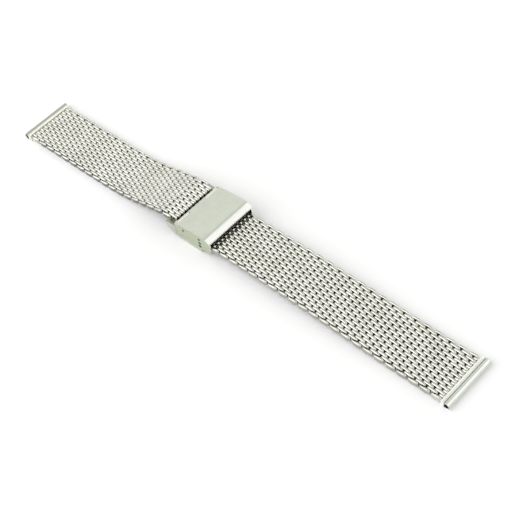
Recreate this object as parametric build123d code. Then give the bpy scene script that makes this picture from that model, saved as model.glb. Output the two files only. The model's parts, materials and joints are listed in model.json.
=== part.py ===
from build123d import *
import math
import os

# Milanese mesh watch band, closed at its sliding clasp and lying on a table.
# +X runs along the band to the end of the long side, +Z is up, and Y = 0 is the middle of its width.
# The band's box has its bottom centre at the origin. Lengths are millimetres, angles are degrees.
# The clasp is drawn about the cover's hinge pin at x = 0, and everything is centred at the end.

# Strap and mesh
lug_width = 18.0
lug_side_play = 0.1
mesh_side_inset = 0.3
mesh_thickness = 2.0
coil_spacing = 1.95
coils_per_link = 4
coils_beside_connector = 3
coils_beside_short_lug = 6
coils_through_clasp = 9
short_side_links = 8
long_side_links = 10
link_gap = 0.08
link_lip = 0.85

# Relief of the mesh: a groove across it at each coil, and a notch at its edges between two end bends
row_groove_radius = 0.6
row_groove_depth = 0.35
coils_per_end_bend = 2
edge_notch_radius = 0.45

# How far each link drops, as a share of its side's whole drop to the table
short_side_drop_shares = (0.34, 0.38, 0.22, 0.06)
long_side_drop_shares = (0, 0.04, 0.08, 0.13, 0.17, 0.20, 0.18, 0.13, 0.07)

# Lug ends
lug_tube_radius = 1.15
lug_bore_radius = 0.85
lug_flange_length = 0.6
lug_flange_rise = 0.08
lug_groove_depth = 0.2

# Locking plate, its pivot and its cam
plate_sheet = 0.6
plate_left = 0.35
pivot_inset = 3.1
pivot_height = 1.0
pivot_radius = 0.3
pivot_barrel_radius = 0.5
cam_half_length = 0.45
cam_gap = 0.1
cam_half_width = 6.5
plate_side_play = 0.45
plate_top_gap = 0.25
flange_sheet = 0.5
flange_pivot_gap = 1.4

# Slider
floor_height = 1.6
floor_sheet = 0.75
mesh_under_gap = 0.1
mesh_over_gap = 0.08
bridge_sheet = 0.4
slider_side_gap = 0.1
cheek_sheet = 0.55
nose_left = 4.7
nose_middle_place = 3.9
nose_middle_height = 2.05
nose_low = 0.8
nose_low_place = 1.7
nose_foot_height = 1.3
nose_cover_gap = 0.12
bridge_inset = 1.8
floor_inset = 0.6
cam_window_left = 1.75
cam_window_right = 0.8
ear_sheet = 0.5
ear_inset = 0.3
ear_half_length = 0.7
pivot_ear_half_length = 0.62
pin_hole_gap = 0.03

# Connector, hook and hinge between the short side and the cover
connector_gap = 0.07
connector_sheet = 0.3
connector_side_inset = 0.1
hook_gap = 0.05
hook_bar_radius = 0.35
hook_bar_place = 3.1
hook_side_gap = 0.25
hook_shoulder_gap = 0.3
barrel_radius = 0.6
barrel_gap = 0.1
hinge_pin_radius = 0.3
end_bar_sheet = 0.35
end_bar_below_axis = 0.15
tongue_half_width = 3.5
knuckle_gap = 0.1

# Cover
cover_sheet = 0.5
cover_side_sheet = 0.5
cover_side_gap = 0.05
cover_reach = 14.4
cover_edge = 0.72
cover_edge_rise = 0.66
cover_mid_share = 0.41
cover_mid_rise = 1.42
cover_crown_share = 0.736
cover_crown_rise = 1.68
cover_curl_share = 0.889
cover_curl_rise = 1.36
cover_lip_rise = 0.45
side_floor_gap = 0.1
side_corner_cut = 2.1
side_corner_height = 3.3
snap_inset = 4.4
snap_height = 5.85
snap_radius = 0.45
snap_depth = 0.28
snap_ear_gap = 0.06
snap_ear_top = 0.6
bar_mark_height = 5.42
bar_mark_place = 3.05
slot_length = 1.0
slot_height = 0.42
upper_slot_inset = 4.45
upper_slot_height = 4.3
lower_slot_inset = 4.65
lower_slot_height = 2.8

# Tail of the long side
tail_place = 3.3
tail_bar_length = 0.5

overrun = 1.0

# Heights that follow from the stack of sheets, from the table up
half_mesh = mesh_thickness / 2
floor_top = floor_height + floor_sheet
long_mesh_bottom = floor_top + mesh_under_gap
long_axis_height = long_mesh_bottom + half_mesh
bridge_bottom = long_mesh_bottom + mesh_thickness + mesh_over_gap
bridge_top = bridge_bottom + bridge_sheet
connector_bottom = bridge_top + connector_gap
connector_top = connector_bottom + connector_sheet
hinge_height = connector_top + barrel_gap + barrel_radius
hook_bar_height = connector_top + hook_gap + hook_bar_radius
table_axis_height = lug_tube_radius

# Places along the clasp that follow from the cover's reach
pivot_place = cover_reach - pivot_inset
bridge_right = cover_reach - bridge_inset
floor_right = cover_reach - floor_inset
snap_place = cover_reach - snap_inset

# Widths that follow from the lug width
lug_half_width = lug_width / 2 - lug_side_play
half_mesh_width = lug_half_width - mesh_side_inset
floor_half_width = half_mesh_width + slider_side_gap
side_inner = floor_half_width + cover_side_gap
side_outer = side_inner + cover_side_sheet
connector_half_width = half_mesh_width - connector_side_inset
ear_outer = floor_half_width - ear_inset
ear_inner = ear_outer - ear_sheet

link_length = coils_per_link * coil_spacing
short_start = -(barrel_radius + barrel_gap + end_bar_sheet)
short_first_length = coils_beside_connector * coil_spacing
short_last_length = coils_beside_short_lug * coil_spacing
long_first_length = coils_through_clasp * coil_spacing


def slab(profile, inner, outer):
    """A profile drawn in x and z, pushed out in y from inner to outer on the far side."""
    solid = extrude(Plane.XZ * profile, amount=outer - inner)
    return Pos(0, outer, 0) * solid


def pair(profile, inner, outer):
    """The same slab on the far and the near side."""
    far = slab(profile, inner, outer)
    return far + mirror(far, about=Plane.XZ)


def across(profile, half_width):
    return slab(profile, -half_width, half_width)


def box_profile(left, right, bottom, top):
    return Pos((left + right) / 2, (bottom + top) / 2) * Rectangle(right - left, top - bottom)


def disc(x, z, radius):
    return Pos(x, z) * Circle(radius)


def pin(x, z, radius, half_length):
    return across(disc(x, z, radius), half_length)


def link_frames(start_x, start_z, heading, lengths, drops):
    """Start point and slope of each link in a side, where every drop turns the band a little down."""
    frames = []
    x, z = start_x, start_z
    for length, drop in zip(lengths, drops):
        slope = math.degrees(math.asin(-drop / length))
        frames.append((x, z, slope, length))
        x += heading * length * math.cos(math.radians(slope))
        z += length * math.sin(math.radians(slope))
    frames.append((x, z, 0.0, 0.0))
    return frames


def placed(solid, frame, heading):
    """Lays a link drawn along +X onto its frame."""
    x, z, slope, length = frame
    turn = -slope if heading > 0 else slope
    flip = 0 if heading > 0 else 180
    return Pos(x, 0, z) * Rot(0, turn, 0) * Rot(0, 0, flip) * solid


def mesh_link(length, coils, socket, ball):
    """A stretch of mesh: its near end is cut to a socket, and its far end is a half round."""
    start = link_lip if socket else 0
    profile = box_profile(start, length, -half_mesh, half_mesh)
    if ball:
        profile += disc(length, 0, half_mesh)
    if socket:
        profile -= disc(0, 0, half_mesh + link_gap)
    groove_height = half_mesh + row_groove_radius - row_groove_depth
    for coil in range(1, coils):
        middle = coil * coil_spacing
        profile -= disc(middle, groove_height, row_groove_radius)
        profile -= disc(middle, -groove_height, row_groove_radius)
    link = across(profile, half_mesh_width)
    notch = extrude(Circle(edge_notch_radius), amount=half_mesh + overrun, both=True)
    skipped = 0 if ball else coils_per_end_bend
    for coil in range(coils - skipped, 0, -coils_per_end_bend):
        for side in (-half_mesh_width, half_mesh_width):
            link -= Pos(coil * coil_spacing, side, 0) * notch
    return link


def lug_end():
    """The tube that takes the spring bar, with the flange that is brazed to the mesh."""
    axis_x = lug_flange_length + lug_tube_radius
    rim = half_mesh + lug_flange_rise
    web = half_mesh - lug_groove_depth
    profile = box_profile(0, lug_flange_length, -rim, rim) + box_profile(0, axis_x, -web, web)
    profile += disc(axis_x, 0, lug_tube_radius)
    profile -= disc(axis_x, 0, lug_bore_radius)
    return across(profile, lug_half_width)


def side_nodes(name, frames, heading, first_socket):
    """The mesh links of one side, and the lug end behind the last one."""
    nodes = {}
    links = frames[:-1]
    for number, frame in enumerate(links):
        last = number == len(links) - 1
        coils = round(frame[3] / coil_spacing)
        link = mesh_link(frame[3], coils, socket=number > 0 or first_socket, ball=not last)
        nodes[f"{name}_mesh_{number:02d}"] = placed(link, frame, heading)
    x, z, slope, length = frames[-1]
    end_frame = (x, z, links[-1][2], length)
    nodes[f"{name}_lug_end"] = placed(lug_end(), end_frame, heading)
    return nodes


def side_frames(start_x, start_z, heading, lengths, drop_shares):
    """Frames of one side: a level first link, then links that share the drop to the table."""
    drop = start_z - table_axis_height
    level_links = len(lengths) - 1 - len(drop_shares)
    drops = [0] + [share * drop for share in drop_shares] + [0] * level_links
    return link_frames(start_x, start_z, heading, lengths, drops)


def short_side_frames():
    lengths = [short_first_length] + [link_length] * (short_side_links - 1) + [short_last_length]
    return side_frames(short_start, hinge_height, -1, lengths, short_side_drop_shares)


def long_side_frames():
    lengths = [long_first_length] + [link_length] * long_side_links
    return side_frames(tail_place, long_axis_height, 1, lengths, long_side_drop_shares)


def tail_bar():
    """The brazed bar that closes the cut end of the long side."""
    profile = box_profile(tail_place - tail_bar_length, tail_place,
                          long_mesh_bottom, long_mesh_bottom + mesh_thickness)
    return across(profile, half_mesh_width)


def nose_profile():
    """Side view of the slider's rounded left end."""
    right = -barrel_radius - nose_cover_gap
    top_left = (-nose_left, bridge_top)
    bottom = (-nose_low_place, nose_low)
    outline = ThreePointArc(top_left, (-nose_middle_place, nose_middle_height), bottom)
    outline += Line(bottom, (right, nose_foot_height))
    outline += Line((right, nose_foot_height), (right, bridge_top))
    outline += Line((right, bridge_top), top_left)
    return make_face(outline)


def slider_body():
    """Floor, nose and bridge around the mesh, with the ears that hold the bar, the snap and the pivot."""
    nose = nose_profile()
    left = -nose_left - overrun
    low_nose = nose & box_profile(left, 0, 0, floor_top)
    floor = box_profile(-nose_low_place, floor_right, floor_height, floor_top)
    bridge = box_profile(-nose_left, bridge_right, bridge_bottom, bridge_top)
    body = across(low_nose + floor, floor_half_width)
    body += across(bridge, floor_half_width)
    body += pair(nose, floor_half_width, floor_half_width + cheek_sheet)
    window = box_profile(pivot_place - cam_window_left, pivot_place + cam_window_right,
                         floor_height - overrun, floor_top + mesh_under_gap)
    body -= across(window, ear_inner)
    bar_ear = box_profile(hook_bar_place - ear_half_length, hook_bar_place + ear_half_length,
                          bridge_top, hook_bar_height + hook_bar_radius + pin_hole_gap + ear_sheet / 2)
    bar_ear -= disc(hook_bar_place, hook_bar_height, hook_bar_radius + pin_hole_gap)
    snap_ear = box_profile(snap_place - ear_half_length, snap_place + ear_half_length,
                           bridge_top, snap_height + snap_ear_top)
    snap_ear -= disc(snap_place, snap_height, snap_radius)
    body += pair(bar_ear, ear_inner, ear_outer)
    body += pair(snap_ear, ear_inner, ear_outer)
    pivot_ear = box_profile(pivot_place - pivot_ear_half_length, pivot_place + pivot_ear_half_length,
                            pivot_height - pivot_ear_half_length, floor_height)
    pivot_ear -= disc(pivot_place, pivot_height, pivot_radius + pin_hole_gap)
    body += pair(pivot_ear, ear_inner, ear_outer)
    return body


def hook_bar():
    return pin(hook_bar_place, hook_bar_height, hook_bar_radius, ear_outer)


def lock_pin():
    return pin(pivot_place, pivot_height, pivot_radius, ear_outer)


def plate_bottom(lift):
    """The locking plate's arched underside, or the same curve lifted by a sheet."""
    end_height = pivot_height - pivot_barrel_radius + lift
    low = ((plate_left + pivot_place) / 2, lift)
    return ThreePointArc((plate_left, end_height), low, (pivot_place, end_height))


def lock_plate():
    """The plate under the slider that swings down to free the mesh, with its cam and side flanges."""
    half_width = floor_half_width + plate_side_play
    lower, upper = plate_bottom(0), plate_bottom(plate_sheet)
    ends = Line(lower @ 0, upper @ 0) + Line(lower @ 1, upper @ 1)
    sheet = make_face(lower + upper + ends)
    clear = ear_inner - pin_hole_gap
    flange_right = pivot_place - flange_pivot_gap
    body = across(sheet & box_profile(0, flange_right, -overrun, floor_height), half_width)
    body += across(sheet, clear)
    body += across(disc(pivot_place, pivot_height, pivot_barrel_radius), clear)
    cam_top = long_mesh_bottom - cam_gap
    cam = box_profile(pivot_place - cam_half_length, pivot_place + cam_half_length, pivot_height, cam_top)
    body += across(cam, cam_half_width)
    flange_top = floor_height - plate_top_gap
    flange = box_profile(plate_left, flange_right, 0, flange_top)
    below = make_face(plate_bottom(0) + Line(lower @ 0, (plate_left, -overrun))
                      + Line((plate_left, -overrun), (pivot_place, -overrun))
                      + Line((pivot_place, -overrun), lower @ 1))
    body += pair(flange - below, half_width - flange_sheet, half_width)
    body -= pin(pivot_place, pivot_height, pivot_radius + pin_hole_gap, half_width)
    return body


def short_connector():
    """End bar on the short side's mesh, with two hinge knuckles and the hook around the slider's bar."""
    left = short_start
    end_bar = box_profile(left, left + end_bar_sheet, connector_bottom, hinge_height - end_bar_below_axis)
    neck_right = hook_bar_place - ear_half_length - hook_shoulder_gap
    neck = box_profile(left, neck_right, connector_bottom, connector_top)
    knuckle = disc(0, hinge_height, barrel_radius)
    knuckle += box_profile(left, 0, connector_bottom, hinge_height - end_bar_below_axis)
    tongue = box_profile(neck_right - overrun / 2, hook_bar_place, connector_bottom, connector_top)
    inner = hook_bar_radius + hook_gap
    curl = disc(hook_bar_place, hook_bar_height, inner + connector_sheet)
    curl -= disc(hook_bar_place, hook_bar_height, inner)
    curl &= box_profile(hook_bar_place, hook_bar_place + inner + overrun,
                        connector_bottom - overrun, hook_bar_height + inner + overrun)
    body = across(end_bar + neck, connector_half_width)
    body += pair(knuckle, tongue_half_width + knuckle_gap, connector_half_width)
    body += across(tongue + curl, ear_inner - hook_side_gap)
    body -= pin(0, hinge_height, hinge_pin_radius + pin_hole_gap, side_outer)
    return body


def hinge_pin():
    return pin(0, hinge_height, hinge_pin_radius, side_outer - cover_side_gap)


def cover_curves(lift):
    """The cover's crowned top in side view, from its hinged edge to its lip, moved by lift."""
    base = hinge_height + lift
    edge = (cover_edge, base + cover_edge_rise)
    middle = (cover_mid_share * cover_reach, base + cover_mid_rise)
    crown = (cover_crown_share * cover_reach, base + cover_crown_rise)
    curl = (cover_curl_share * cover_reach, base + cover_curl_rise)
    lip = (cover_reach, base + cover_lip_rise)
    return ThreePointArc(edge, middle, crown), ThreePointArc(crown, curl, lip)


def cover_sheet_profile():
    top, top_curl = cover_curves(0)
    under, under_curl = cover_curves(-cover_sheet)
    ends = Line(top @ 0, under @ 0) + Line(top_curl @ 1, under_curl @ 1)
    return make_face(top + top_curl + under + under_curl + ends)


def cover_side_profile():
    """One side wall: the crowned top, a straight back, a long foot and a cut corner at the lip."""
    top, top_curl = cover_curves(0)
    foot = floor_height - side_floor_gap
    corner = (cover_reach, side_corner_height)
    foot_right = (cover_reach - side_corner_cut, foot)
    foot_left = (-barrel_radius, foot)
    shoulder = (-barrel_radius, hinge_height)
    outline = top + top_curl
    outline += Line(top_curl @ 1, corner)
    outline += Line(corner, foot_right)
    outline += Line(foot_right, foot_left)
    outline += Line(foot_left, shoulder)
    outline += ThreePointArc(shoulder, (-barrel_radius * math.sin(math.radians(45)),
                                        hinge_height + barrel_radius * math.cos(math.radians(45))),
                             (0, hinge_height + barrel_radius))
    outline += Line((0, hinge_height + barrel_radius), top @ 0)
    return make_face(outline)


def dimple(x, z):
    """A pressed dimple on both walls: the bump that stands out inside, and the round pit outside."""
    ball = Sphere(snap_radius)
    bump = Pos(x, side_inner + snap_radius - snap_depth, z) * ball
    pit = Pos(x, side_outer + snap_radius - snap_depth, z) * ball
    bump &= slab(box_profile(x - overrun, x + overrun, z - overrun, z + overrun),
                 side_inner - snap_depth, side_outer - snap_depth)
    return bump + mirror(bump, about=Plane.XZ), pit + mirror(pit, about=Plane.XZ)


def clasp_cover():
    """The folding cover: crowned sheet, two side walls, and the tongue rolled round the hinge pin."""
    body = across(cover_sheet_profile(), side_outer)
    body += pair(cover_side_profile(), side_inner, side_outer)
    root = box_profile(0, cover_edge + cover_sheet, hinge_height, hinge_height + barrel_radius)
    knuckle = disc(0, hinge_height, barrel_radius) + root
    body += across(knuckle, tongue_half_width)
    for x, z in ((snap_place, snap_height), (bar_mark_place, bar_mark_height)):
        bumps, pits = dimple(x, z)
        body += bumps
        body -= pits
    for inset, z in ((upper_slot_inset, upper_slot_height), (lower_slot_inset, lower_slot_height)):
        slot = Pos(cover_reach - inset, z) * SlotOverall(slot_length, slot_height)
        body -= pair(slot, side_inner - overrun, side_outer + overrun)
    body -= pin(0, hinge_height, hinge_pin_radius + pin_hole_gap, side_outer + overrun)
    return body


def centring_shift(short_frames, long_frames):
    """How far the drawing moves along x so that both ends lie equally far from the origin."""
    reach = lug_flange_length + 2 * lug_tube_radius
    return -(short_frames[-1][0] - reach + long_frames[-1][0] + reach) / 2


def build():
    short_frames = short_side_frames()
    long_frames = long_side_frames()
    nodes = {
        "slider_body": slider_body(),
        "hook_bar": hook_bar(),
        "lock_pin": lock_pin(),
        "lock_plate": lock_plate(),
        "short_connector": short_connector(),
        "hinge_pin": hinge_pin(),
        "clasp_cover": clasp_cover(),
        "tail_bar": tail_bar(),
    }
    nodes.update(side_nodes("short", short_frames, -1, first_socket=False))
    nodes.update(side_nodes("long", long_frames, 1, first_socket=False))
    shift = Pos(centring_shift(short_frames, long_frames), 0, 0)
    return {name: shift * solid for name, solid in nodes.items()}


os.makedirs("parts", exist_ok=True)
for node_name, node_solid in build().items():
    export_step(node_solid, f"parts/{node_name}.step")
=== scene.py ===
import json
import math

import bpy
from mathutils import Matrix, Vector


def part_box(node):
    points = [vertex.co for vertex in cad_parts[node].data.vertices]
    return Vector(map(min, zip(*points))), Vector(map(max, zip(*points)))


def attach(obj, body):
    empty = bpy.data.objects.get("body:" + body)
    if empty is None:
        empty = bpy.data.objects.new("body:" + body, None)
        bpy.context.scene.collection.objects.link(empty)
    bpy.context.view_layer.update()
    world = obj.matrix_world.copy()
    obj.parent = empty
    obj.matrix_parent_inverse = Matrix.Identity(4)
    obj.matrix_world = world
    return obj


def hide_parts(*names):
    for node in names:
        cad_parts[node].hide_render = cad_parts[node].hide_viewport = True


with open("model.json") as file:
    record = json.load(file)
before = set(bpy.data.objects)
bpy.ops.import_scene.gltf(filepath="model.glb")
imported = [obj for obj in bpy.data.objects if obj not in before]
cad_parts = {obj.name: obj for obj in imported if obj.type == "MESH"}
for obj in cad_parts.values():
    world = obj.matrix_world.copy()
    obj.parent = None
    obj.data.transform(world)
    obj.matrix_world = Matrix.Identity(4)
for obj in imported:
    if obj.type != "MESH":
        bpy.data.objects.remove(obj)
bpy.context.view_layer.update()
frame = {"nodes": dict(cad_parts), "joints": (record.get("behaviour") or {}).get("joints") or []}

scene = bpy.context.scene
mm = 0.001

# The weave, in mm. Spacing, width and thickness are the CAD source's own.
SPACING = 1.95        # from one coil to the next, along the band
HALF_WIDTH = 8.6      # out to the faces of the end bends
HALF_THICK = 1.0
PITCH = 1.62          # one turn of a coil, across the band
REACH = 1.50          # from a coil's axis to its wire's centre line, along the band
CORNER = 0.38         # radius between a coil's runs and its ends
SHIFT_HALF = 0.35     # the ends move the wire sideways within this height of the middle
RUN_SHARE = 0.03      # share of the pitch that a run drifts sideways
CROWN = 0.04          # how far a run arches
COIL_HALF = 7.72      # half of a coil's length

# The flattened wire: its half width and half thickness in mm, and the powers of its section
WIRE_HALF = 0.425
WIRE_RISE = 0.34
WIRE_SIDES = 10
WIRE_WIDE_POWER = 0.8
WIRE_THICK_POWER = 0.95

# The flattened end bends, in mm. Shapes are keyed by edge: 1 the far one, -1 the near one.
PAD_REACH = 1.66
PAD_RISE = 0.97
PAD_RINGS = 13
PAD_SIDES = 12
PAD_POWER = 0.6
PAD_TIP = 0.15        # the taper's least value, before its root
PAD_TIP_POWER = 5
PAD_RISE_POWER = 0.4
PAD_SWELL_RATE = 1.2
PAD_DROP_POWER = 4
# The inner value of each shape is the painted shade of a pad's inner side
PAD_SHAPES = {1: {"half": 0.42, "swell": 0.04, "drop": 0.38, "inner": 0.4},
              -1: {"half": 0.30, "swell": 0.18, "drop": 0.12, "inner": 0.1}}

# Depth, which sets the painted shade of the weave's hollows: 1 on the outside of the weave,
# unshaded, and 0 deep inside it, darkest
PAD_INNER_SIDE = -0.3     # a pad's section is its inner side below this cosine
PAD_EDGE_DEPTH = 0.445
PAD_FACE = 0.6            # and its face above this sine
NEAR_EDGE = 0.3           # mm of each coil at the near edge that lie in the pads' shade
NEAR_EDGE_SHARE = 0.6
UNDER_CLASP = 9.8         # mm of the long side that lie in the clasp's shade
UNDER_CLASP_SHARE = 0.3
# the short side's hollows take deeper painted shade through this power
SHORT_DEPTH_POWER = 1.4

# Cut ends of the two sides, in mm, with headings 1 for the long side and -1 for the short one
FIRST_REACH = {1: 0.05, -1: -0.04}
# At a cut end, and over BRAZED_LENGTH before the lug, the painted hollow shade is lifted towards
# CUT_DEPTH
FIRST_FADE = 0.5
LAST_GAP = 0.03
BRAZED_LENGTH = 3 * SPACING
BRAZED_SHARE = 0.9
CUT_DEPTH = 0.8

# Height of each side's middle where it starts at the clasp and where it ends at its lug, in mm
SHORT_START_HEIGHT = 6.0
LONG_START_HEIGHT = 3.45
LUG_HEIGHT = 1.15

# How many coils each mesh node carries
SHORT_COUNTS = [3] + [4] * 7 + [6]
LONG_COUNTS = [9] + [4] * 10

# Noise mostly lies between these two
NOISE_LOW, NOISE_HIGH = 0.3, 0.7
TONE_SCALE = 260.0
TONE_DETAIL = 3.0
GRAIN_SCALE = 6.0
GRAIN_DETAIL = 4.0
GRAIN_STRETCH = {"x": (60, 900, 900), "y": (900, 60, 900), None: (400, 400, 400)}
GRAIN_HEIGHT = 0.00002    # m
ROUGH_SHARES = (0.8, 1.25)

# Tones of the painted shade in the weave, by depth
HOLLOW_SHADE_TONES = [(0.0, (0.03, 0.03, 0.026)), (0.25, (0.06, 0.06, 0.052)),
               (0.42, (0.56, 0.56, 0.54)), (0.6, (0.90, 0.90, 0.88)),
               (0.8, (0.97, 0.97, 0.96)), (1.0, (1, 1, 1))]
# the tone of the painted shade in the dimples and slots
MARK_SHADE = (0.03, 0.03, 0.025)
# faces turned further across the band than this take painted side shade
WALL_FACING = 0.7
POLISH = -0.14            # what a polished strip adds to the roughness
SATIN = 0.6               # and what a lug's flange adds

# Strips across the band, by their place and half width along it, in mm
LIP_STRIP = (0.2, 1.3)
FLANGE_PLACE = 86.2
FLANGE_HALF = 0.55
LUG_LINE_SHADE = (86.87, 0.19, (0.3, 0.3, 0.28))     # painted shade along the line between long flange and tube
LUG_SIDE_SHADE = (88.7, 0.35, (0.66, 0.71, 0.64))    # painted shade on the outer side of the long tube

COVER_TONES = ((0.98, 0.985, 0.95), (0.94, 0.945, 0.91))

# Ovals of painted shade round the dimples and slots in the clasp's walls: x, z, half length, half
# height, in mm
SIDE_SHADE_MARKS = ((-3.038, 5.85, 0.42, 0.42), (-3.088, 4.3, 0.62, 0.46),
              (-3.288, 2.8, 0.62, 0.46), (-9.96, 5.4, 0.42, 0.42))

# The room's tones by the cosine to the grey card's direction, and by height
CARD_DIRECTION = (-0.533, 0.386, 0.753)
CARD_TONES = [(0.0, (1.0, 1.0, 0.98)), (0.81, (1.0, 1.0, 0.98)), (0.88, (0.44, 0.46, 0.40)),
              (0.94, (0.62, 0.66, 0.57)), (1.0, (0.63, 0.67, 0.58))]
CEILING_TONES = [(0.0, (1, 1, 1)), (0.94, (1, 1, 1)),
                 (0.975, (0.68, 0.70, 0.66)), (1.0, (0.68, 0.70, 0.66))]

# Floor and lamp, in m and W
FLOOR_HALF = 1.5
FLOOR_TONE = (0.96, 0.952, 0.98)
FLOOR_ROUGHNESS = 0.9
KEY_PLACE = (-0.30, -0.45, 0.60)
KEY_SIZE = 0.8
KEY_POWER = 2.5

# Camera: its place in mm, and its axes fitted to the photo
CAMERA_PLACE = (202.6923, -139.516, 270.7881)
CAMERA_RIGHT = (0.716668, 0.67904, -0.159036)
CAMERA_DOWN = (0.449892, -0.624377, -0.638554)
CAMERA_FORWARD = (-0.532901, 0.386082, -0.752965)
CAMERA_SENSOR = 36
CAMERA_LENS = 85.852
CAMERA_CLIP = (0.01, 10)

# Bevels of the solid pieces, in mm
BEVELS = {"clasp_cover": 0.16}
BEVEL = 0.08
BEVEL_SEGMENTS = 2
BEVEL_ANGLE = math.radians(35)


# ---------------------------------------------------------------- shader nodes

def new_material(name):
    mat = bpy.data.materials.new(name)
    mat.use_nodes = True
    nodes, links = mat.node_tree.nodes, mat.node_tree.links
    nodes.clear()
    out = nodes.new("ShaderNodeOutputMaterial")
    bsdf = nodes.new("ShaderNodeBsdfPrincipled")
    links.new(bsdf.outputs["BSDF"], out.inputs["Surface"])
    return mat, nodes, links, bsdf


def feed(links, socket, value):
    """Gives a socket its colour or number, or links another node's output to it."""
    if isinstance(value, tuple):
        socket.default_value = (*value, 1)
    elif isinstance(value, (int, float)):
        socket.default_value = value
    else:
        links.new(value, socket)


def noise(nodes, links, coords, scale, detail):
    tex = nodes.new("ShaderNodeTexNoise")
    tex.inputs["Scale"].default_value = scale
    tex.inputs["Detail"].default_value = detail
    links.new(coords, tex.inputs["Vector"])
    return tex.outputs["Fac"]


def mapped(nodes, links, coords, scale, location=(0, 0, 0)):
    mapping = nodes.new("ShaderNodeMapping")
    mapping.inputs["Scale"].default_value = scale
    mapping.inputs["Location"].default_value = location
    links.new(coords, mapping.inputs["Vector"])
    return mapping.outputs["Vector"]


def component(nodes, links, vector, axis):
    split = nodes.new("ShaderNodeSeparateXYZ")
    links.new(vector, split.inputs["Vector"])
    return split.outputs[axis]


def ramp(nodes, links, fac, stops):
    node = nodes.new("ShaderNodeValToRGB")
    elements = node.color_ramp.elements
    while len(elements) < len(stops):
        elements.new(1.0)
    for element, (place, colour) in zip(elements, stops):
        element.position = place
        element.color = (*colour, 1.0)
    links.new(fac, node.inputs["Fac"])
    return node.outputs["Color"]


def spread(nodes, links, fac, low, high):
    """Noise spread from low to high."""
    node = nodes.new("ShaderNodeMapRange")
    node.inputs["From Min"].default_value = NOISE_LOW
    node.inputs["From Max"].default_value = NOISE_HIGH
    node.inputs["To Min"].default_value = low
    node.inputs["To Max"].default_value = high
    links.new(fac, node.inputs["Value"])
    return node.outputs["Result"]


def multiply(nodes, links, colour, factor, shade):
    """Colour times shade, as far as the factor goes."""
    mix = nodes.new("ShaderNodeMix")
    mix.data_type = "RGBA"
    mix.blend_type = "MULTIPLY"
    feed(links, mix.inputs["Factor"], factor)
    feed(links, mix.inputs["A"], colour)
    feed(links, mix.inputs["B"], shade)
    return mix.outputs["Result"]


def math_node(nodes, links, operation, *values):
    node = nodes.new("ShaderNodeMath")
    node.operation = operation
    for socket, value in zip(node.inputs, values):
        feed(links, socket, value)
    return node.outputs["Value"]


def inside_strip(nodes, links, coords, x, half):
    """1 where a point lies in a strip across the band, in mm."""
    along = component(nodes, links, coords, "X")
    return math_node(nodes, links, "COMPARE", along, x * mm, half * mm)


def inside_oval(nodes, links, coords, x, z, half_x, half_z):
    """1 where a point lies in an oval prism that runs across the band, in mm."""
    scaled = mapped(nodes, links, coords, (1 / (half_x * mm), 0, 1 / (half_z * mm)),
                    (-x / half_x, 0, -z / half_z))
    length = nodes.new("ShaderNodeVectorMath")
    length.operation = "LENGTH"
    links.new(scaled, length.inputs[0])
    return math_node(nodes, links, "LESS_THAN", length.outputs["Value"], 1.0)


# ---------------------------------------------------------------- materials

def steel(name, light, dark, rough, grain, grain_axis=None, depth=False, side_shade=None, shade_marks=(),
          polish=None, flange=None, strips=()):
    """Steel whose tone drifts from light to dark, with drawn or brushed grain in its roughness
    and bump. Depth paints shade into the hollows of the weave, the wall tone is painted shade on
    what faces across the band, and the marks are ovals of painted shade. Polish is a smoother
    strip, flange a satin one with its place and the painted shade of all that lies beside it,
    and each of strips is a strip of painted shade."""
    mat, nodes, links, bsdf = new_material(name)
    coords = nodes.new("ShaderNodeTexCoord").outputs["Object"]
    drift = noise(nodes, links, coords, TONE_SCALE, TONE_DETAIL)
    stretched = mapped(nodes, links, coords, GRAIN_STRETCH[grain_axis])
    lines = noise(nodes, links, stretched, GRAIN_SCALE, GRAIN_DETAIL)
    colour = ramp(nodes, links, drift, [(NOISE_LOW, dark), (NOISE_HIGH, light)])
    roughness = spread(nodes, links, lines, rough * ROUGH_SHARES[0], rough * ROUGH_SHARES[1])

    # Painted shade in the weave's hollows, by depth
    if depth:
        attribute = nodes.new("ShaderNodeAttribute")
        attribute.attribute_name = "depth"
        shade = ramp(nodes, links, attribute.outputs["Fac"], HOLLOW_SHADE_TONES)
        colour = multiply(nodes, links, colour, 1.0, shade)
    # Painted shade on faces that look across the band
    if side_shade:
        normal = nodes.new("ShaderNodeTexCoord").outputs["Normal"]
        across = math_node(nodes, links, "ABSOLUTE", component(nodes, links, normal, "Y"))
        facing = math_node(nodes, links, "GREATER_THAN", across, WALL_FACING)
        colour = multiply(nodes, links, colour, facing, side_shade)
    # Ovals of painted shade in the dimples and slots
    for shade_mark in shade_marks:
        here = inside_oval(nodes, links, coords, *shade_mark)
        colour = multiply(nodes, links, colour, here, MARK_SHADE)
    if polish:
        here = inside_strip(nodes, links, coords, *polish)
        roughness = math_node(nodes, links, "MULTIPLY_ADD", here, POLISH, roughness)
    if flange:
        # All beside the satin flange takes the painted shade of the lug's tube
        place, tube_shade = flange
        here = inside_strip(nodes, links, coords, place, FLANGE_HALF)
        beside = math_node(nodes, links, "SUBTRACT", 1.0, here)
        colour = multiply(nodes, links, colour, beside, tube_shade)
        roughness = math_node(nodes, links, "MULTIPLY_ADD", here, SATIN, roughness)
    # Strips of painted shade
    for place, half, shade in strips:
        here = inside_strip(nodes, links, coords, place, half)
        colour = multiply(nodes, links, colour, here, shade)

    links.new(colour, bsdf.inputs["Base Color"])
    bsdf.inputs["Metallic"].default_value = 1.0
    links.new(roughness, bsdf.inputs["Roughness"])
    bump = nodes.new("ShaderNodeBump")
    bump.inputs["Strength"].default_value = grain
    bump.inputs["Distance"].default_value = GRAIN_HEIGHT
    links.new(lines, bump.inputs["Height"])
    links.new(bump.outputs["Normal"], bsdf.inputs["Normal"])
    return mat


# One steel on both sides of the band: the short side's lighter tones are painted light, the long
# side's darker ones painted shade
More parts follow.
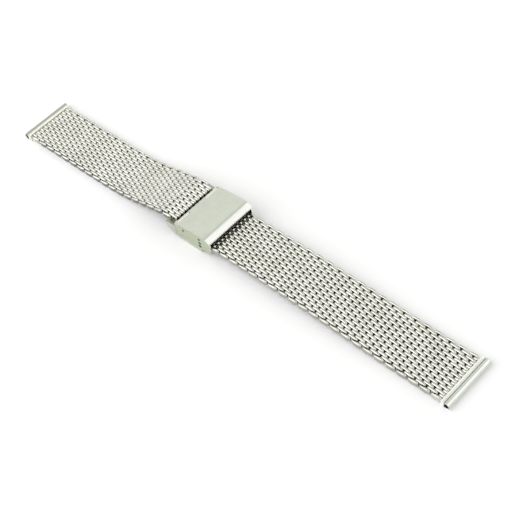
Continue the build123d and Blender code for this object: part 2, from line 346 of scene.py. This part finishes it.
WOVEN = {
    "long": steel("woven_steel_look", (0.76, 0.755, 0.715), (0.62, 0.615, 0.575),
                  rough=0.18, grain=0.2, depth=True),
    "short": steel("woven_satin_lit_look", (0.86, 0.855, 0.815), (0.73, 0.725, 0.685),
                   rough=0.24, grain=0.2, depth=True),
}
# The cover's walls, which face across the band, are painted darker as shade
cover_look = steel("cover_steel_look", *COVER_TONES, rough=0.32, grain=0.2, grain_axis="y",
                   side_shade=(0.52, 0.57, 0.44), shade_marks=SIDE_SHADE_MARKS, polish=LIP_STRIP)
connector_look = steel("connector_steel_look", *COVER_TONES, rough=0.32, grain=0.2,
                       grain_axis="y")
# The slider, lock plate and tail bar: steel painted darker as the shade under and inside the
# cover, with painted shade behind the slots
clasp_look = steel("clasp_shaded_steel_look", (0.62, 0.65, 0.57), (0.54, 0.57, 0.49),
                   rough=0.28, grain=0.25, grain_axis="x", shade_marks=SIDE_SHADE_MARKS)
# The long lug: painted shade along the line after its flange and on its tube's outer side
long_lug_look = steel("long_lug_look", (0.98, 0.98, 0.96), (0.92, 0.92, 0.90),
                      rough=0.16, grain=0.15, grain_axis="y",
                      flange=(FLANGE_PLACE, (1.0, 1.0, 1.0)), strips=(LUG_LINE_SHADE, LUG_SIDE_SHADE))
# The short lug: its tube beside the flange is painted darker as shade
short_lug_look = steel("short_lug_look", (0.98, 0.98, 0.92), (0.92, 0.92, 0.86),
                       rough=0.20, grain=0.15, grain_axis="y",
                       flange=(-FLANGE_PLACE, (0.68, 0.68, 0.70)))
pin_look = steel("pin_steel_look", (0.72, 0.73, 0.70), (0.60, 0.61, 0.58),
                 rough=0.25, grain=0.2, grain_axis="y")

LOOKS = {"clasp_cover": cover_look, "short_connector": connector_look,
         "slider_body": clasp_look, "lock_plate": clasp_look, "tail_bar": clasp_look,
         "short_lug_end": short_lug_look, "long_lug_end": long_lug_look,
         "hinge_pin": pin_look, "hook_bar": pin_look, "lock_pin": pin_look}


# ---------------------------------------------------------------- the weave

def clamp(value, low, high):
    return max(low, min(high, value))


def superpower(value, power):
    return math.copysign(abs(value) ** power, value)


def section(sides):
    """Cosine and sine of each corner of a section."""
    angles = [2 * math.pi * (k + 0.5) / sides for k in range(sides)]
    return [(math.cos(angle), math.sin(angle)) for angle in angles]


def shift_share(z):
    """How much of an end's sideways move the wire has made at height z, from -1 to 1."""
    g = clamp(z / SHIFT_HALF, -1.0, 1.0)
    return 0.5 * (3 * g - g ** 3)


def loop_outline():
    """One turn of a coil seen along its axis, from the middle of its right end over the top,
    as (x, z, share of the pitch). The runs lie almost straight along the band, and the round
    ends carry the wire sideways."""
    half = HALF_THICK - WIRE_RISE - CROWN
    bend = 0.5 * (0.5 - RUN_SHARE)
    quarter = [(REACH, 0.0), (REACH, 0.5 * (half - CORNER))]
    for degrees in (0, 30, 60):
        angle = math.radians(degrees)
        quarter.append((REACH - CORNER + CORNER * math.cos(angle),
                        half - CORNER + CORNER * math.sin(angle)))
    upper = [(x, z, bend * shift_share(z)) for x, z in quarter]
    for x in [(REACH - CORNER) * u for u in (1.0, 0.5, 0.0, -0.5, -1.0)]:
        u = x / (REACH - CORNER)
        upper.append((x, half + CROWN * (1 - u * u), bend + RUN_SHARE * 0.5 * (1 - u)))
    upper += [(-x, z, 0.5 - bend * shift_share(z)) for x, z in reversed(quarter[1:])]
    return upper + [(-x, -z, share + 0.5) for x, z, share in upper]


def coil_points(parity):
    """Centre line of one coil, whose axis lies along Y, round x = 0. Odd ones lie half a pitch
    across from even ones. The turns reach past both ends, and the ends are cut there."""
    outline = loop_outline()
    points = []
    offset = 0.25 * PITCH * (1 if parity else -1)
    first = math.floor((-COIL_HALF - offset) / PITCH)
    for turn in range(first, first + int(2 * COIL_HALF / PITCH) + 3):
        for x, z, share in outline:
            y = (turn + share) * PITCH + offset
            if -COIL_HALF <= y <= COIL_HALF:
                points.append((x, y, z))
    return points


def skin(rings, sides):
    """Faces of a closed tube whose vertices run ring by ring."""
    faces = []
    for i in range(rings - 1):
        for k in range(sides):
            n = (k + 1) % sides
            faces.append((i * sides + k, i * sides + n, (i + 1) * sides + n, (i + 1) * sides + k))
    faces.append(tuple(reversed(range(sides))))
    last = (rings - 1) * sides
    faces.append(tuple(last + k for k in range(sides)))
    return faces


def coil(parity):
    """Vertices, faces and depths of one coil of flattened wire."""
    points = coil_points(parity)
    vertices, depth = [], []
    for i, point in enumerate(points):
        p = Vector(point)
        before, after = points[max(i - 1, 0)], points[min(i + 1, len(points) - 1)]
        tangent = (Vector(after) - Vector(before)).normalized()
        side = Vector((0, 1, 0))
        side = (side - tangent * side.dot(tangent)).normalized()
        up = side.cross(tangent).normalized()
        # Painted shade: each wire darkens from its top to its underside, and more where the near
        # edge lies in the pads' shade
        share = NEAR_EDGE_SHARE if p.y < NEAR_EDGE - COIL_HALF else 1.0
        for c, s in section(WIRE_SIDES):
            vertices.append(p + side * (WIRE_HALF * superpower(c, WIRE_WIDE_POWER))
                            + up * (WIRE_RISE * superpower(s, WIRE_THICK_POWER)))
            depth.append((0.5 + 0.5 * s) * share)
    return vertices, skin(len(points), WIRE_SIDES), depth


def end_pad(edge):
    """Vertices, faces and depths of one flattened end bend, round x = 0."""
    vertices, depth = [], []
    shape = PAD_SHAPES[edge]
    for i in range(PAD_RINGS):
        u = math.sin((-1 + 2 * i / (PAD_RINGS - 1)) * math.pi / 2)
        taper = max(PAD_TIP, 1 - abs(u) ** PAD_TIP_POWER) ** 0.5
        swell = clamp(0.5 - PAD_SWELL_RATE * u, 0.0, 1.0)
        half = shape["half"] + shape["swell"] * swell * swell * (3 - 2 * swell)
        for c, s in section(PAD_SIDES):
            y = (HALF_WIDTH - half + half * taper * superpower(c, PAD_POWER)
                 - shape["drop"] * u ** PAD_DROP_POWER)
            z = PAD_RISE * taper ** PAD_RISE_POWER * superpower(s, PAD_POWER)
            vertices.append(Vector((edge * PAD_REACH * u, edge * y, z)))
            # Painted shade: a pad's sides are darker than its top and bottom faces, and its inner
            # side darker still
            face = max(0.0, abs(s) - PAD_FACE) / (1 - PAD_FACE)
            outer = PAD_EDGE_DEPTH + (1 - PAD_EDGE_DEPTH) * face
            depth.append(shape["inner"] if c < PAD_INNER_SIDE else outer)
    return vertices, skin(PAD_RINGS, PAD_SIDES), depth


COILS = [coil(parity) for parity in (0, 1)]
PADS = [end_pad(edge) for edge in (-1, 1)]


def weave_piece(node, body, start, end, count, first_index, first, last):
    """The coils of one stretch of mesh, laid from start to end, in mm. A first or last stretch
    is cut off square."""
    a, b = Vector(start), Vector(end)
    length = (b - a).length
    along = (b - a).normalized()
    heading = 1 if along.x > 0 else -1
    up = Vector((-along.z, 0, along.x)) * heading
    vertices, faces, depth = [], [], []

    def add(made, centre):
        base = len(vertices)
        for v, outer in zip(made[0], made[2]):
            reach = v.x * heading + centre
            if first:
                reach = max(reach, FIRST_REACH[heading])
                # A cut end is lifted out of the painted hollow shade
                if reach < FIRST_FADE:
                    outer = max(outer, CUT_DEPTH - reach)
                # Under the clasp the long side takes painted shade
                if heading > 0 and reach < UNDER_CLASP:
                    outer = UNDER_CLASP_SHARE * outer
            if last:
                reach = min(reach, length - LAST_GAP)
                # Towards the lug the painted hollow shade is lifted
                brazed = clamp(1 - (length - reach) / BRAZED_LENGTH, 0.0, 1.0)
                if outer < CUT_DEPTH:
                    outer = outer + (CUT_DEPTH - outer) * BRAZED_SHARE * brazed
            place = a + along * reach + up * v.z
            vertices.append((place.x * mm, v.y * mm, place.z * mm))
            # The short side's painted hollow shade is deeper
            depth.append(outer if heading > 0 else outer ** SHORT_DEPTH_POWER)
        faces.extend(tuple(i + base for i in face) for face in made[1])

    for i in range(count + 1 if last else count):
        add(COILS[(first_index + i) % 2], i * SPACING)
    for i in range(count):
        if (first_index + i) % 2 == 0 and not (first and i == 0):
            for pad in PADS:
                add(pad, i * SPACING)
    mesh = bpy.data.meshes.new("weave_" + node)
    mesh.from_pydata(vertices, [], faces)
    mesh.update()
    attribute = mesh.attributes.new("depth", "FLOAT", "POINT")
    attribute.data.foreach_set("value", depth)
    mesh.polygons.foreach_set("use_smooth", [True] * len(mesh.polygons))
    mesh.materials.append(WOVEN[node.split("_")[0]])
    piece = bpy.data.objects.new("weave_" + node, mesh)
    scene.collection.objects.link(piece)
    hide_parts(node)
    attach(piece, body)


JOINTS = {joint["name"]: joint for joint in frame["joints"]}


def lay_side(name, start_x, start_z, counts, end_x, first_body):
    """Lays the coils of one side from the clasp to its lug, bending at the side's joints."""
    points = [(start_x, 0.0, start_z)]
    for i in range(1, len(counts)):
        pos = JOINTS[f"{name}_bend_{i:02d}"]["pos_m"]
        points.append((pos[0] / mm, 0.0, pos[2] / mm))
    points.append((end_x, 0.0, LUG_HEIGHT))
    index = 0
    for i, count in enumerate(counts):
        body = first_body if i == 0 else f"{name}_link_{i:02d}"
        weave_piece(f"{name}_mesh_{i:02d}", body, points[i], points[i + 1], count, index,
                    i == 0, i == len(counts) - 1)
        index += count


short_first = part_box("short_mesh_00")[1].x / mm
short_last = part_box("short_mesh_08")[0].x / mm
long_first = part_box("long_mesh_00")[0].x / mm
long_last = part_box("long_mesh_10")[1].x / mm
lay_side("short", short_first, SHORT_START_HEIGHT, SHORT_COUNTS, short_last, "clasp")
lay_side("long", long_first, LONG_START_HEIGHT, LONG_COUNTS, long_last, "long_tail")


# ---------------------------------------------------------------- solid pieces

for name, look in LOOKS.items():
    piece = frame["nodes"][name]
    piece.data.materials.clear()
    piece.data.materials.append(look)
    bevel = piece.modifiers.new("edge", "BEVEL")
    bevel.width = BEVELS.get(name, BEVEL) * mm
    bevel.segments = BEVEL_SEGMENTS
    bevel.limit_method = "ANGLE"
    bevel.angle_limit = BEVEL_ANGLE
    bevel.harden_normals = False


# ---------------------------------------------------------------- floor, light and camera

def lay_floor():
    mat, nodes, links, bsdf = new_material("floor_look")
    feed(links, bsdf.inputs["Base Color"], FLOOR_TONE)
    bsdf.inputs["Roughness"].default_value = FLOOR_ROUGHNESS
    mesh = bpy.data.meshes.new("floor")
    signs = ((-1, -1), (1, -1), (1, 1), (-1, 1))
    corners = [(x * FLOOR_HALF, y * FLOOR_HALF, 0) for x, y in signs]
    mesh.from_pydata(corners, [], [(0, 1, 2, 3)])
    mesh.materials.append(mat)
    floor = bpy.data.objects.new("floor", mesh)
    scene.collection.objects.link(floor)


def light_room():
    """A white room with a grey card high up at the left, which the flat tops reflect, and a
    small one overhead."""
    world = bpy.data.worlds.new("studio")
    scene.world = world
    world.use_nodes = True
    nodes, links = world.node_tree.nodes, world.node_tree.links
    nodes.clear()
    out = nodes.new("ShaderNodeOutputWorld")
    sky = nodes.new("ShaderNodeBackground")
    links.new(sky.outputs["Background"], out.inputs["Surface"])
    direction = nodes.new("ShaderNodeTexCoord").outputs["Generated"]
    card = nodes.new("ShaderNodeVectorMath")
    card.operation = "DOT_PRODUCT"
    card.inputs[1].default_value = CARD_DIRECTION
    links.new(direction, card.inputs[0])
    room = ramp(nodes, links, card.outputs["Value"], CARD_TONES)
    height = component(nodes, links, direction, "Z")
    ceiling = ramp(nodes, links, height, CEILING_TONES)
    room = multiply(nodes, links, room, 1.0, ceiling)
    links.new(room, sky.inputs["Color"])
    sky.inputs["Strength"].default_value = 1.0


def light_key():
    """One soft lamp, which looks at the middle of the band."""
    light = bpy.data.lights.new("key", "AREA")
    light.shape = "RECTANGLE"
    light.size, light.size_y = KEY_SIZE, KEY_SIZE
    light.energy = KEY_POWER
    lamp = bpy.data.objects.new("key", light)
    lamp.location = KEY_PLACE
    lamp.rotation_euler = (-Vector(KEY_PLACE)).to_track_quat("-Z", "Y").to_euler()
    scene.collection.objects.link(lamp)


def set_camera():
    data = bpy.data.cameras.new("camera")
    data.sensor_width = CAMERA_SENSOR
    data.lens = CAMERA_LENS
    data.clip_start, data.clip_end = CAMERA_CLIP
    camera = bpy.data.objects.new("camera", data)
    scene.collection.objects.link(camera)
    axes = (Vector(CAMERA_RIGHT), -Vector(CAMERA_DOWN), -Vector(CAMERA_FORWARD))
    matrix = Matrix(axes).transposed().to_4x4()
    matrix.translation = Vector(CAMERA_PLACE) * mm
    camera.matrix_world = matrix
    scene.camera = camera


lay_floor()
light_room()
light_key()
set_camera()

scene.view_settings.view_transform = "Standard"
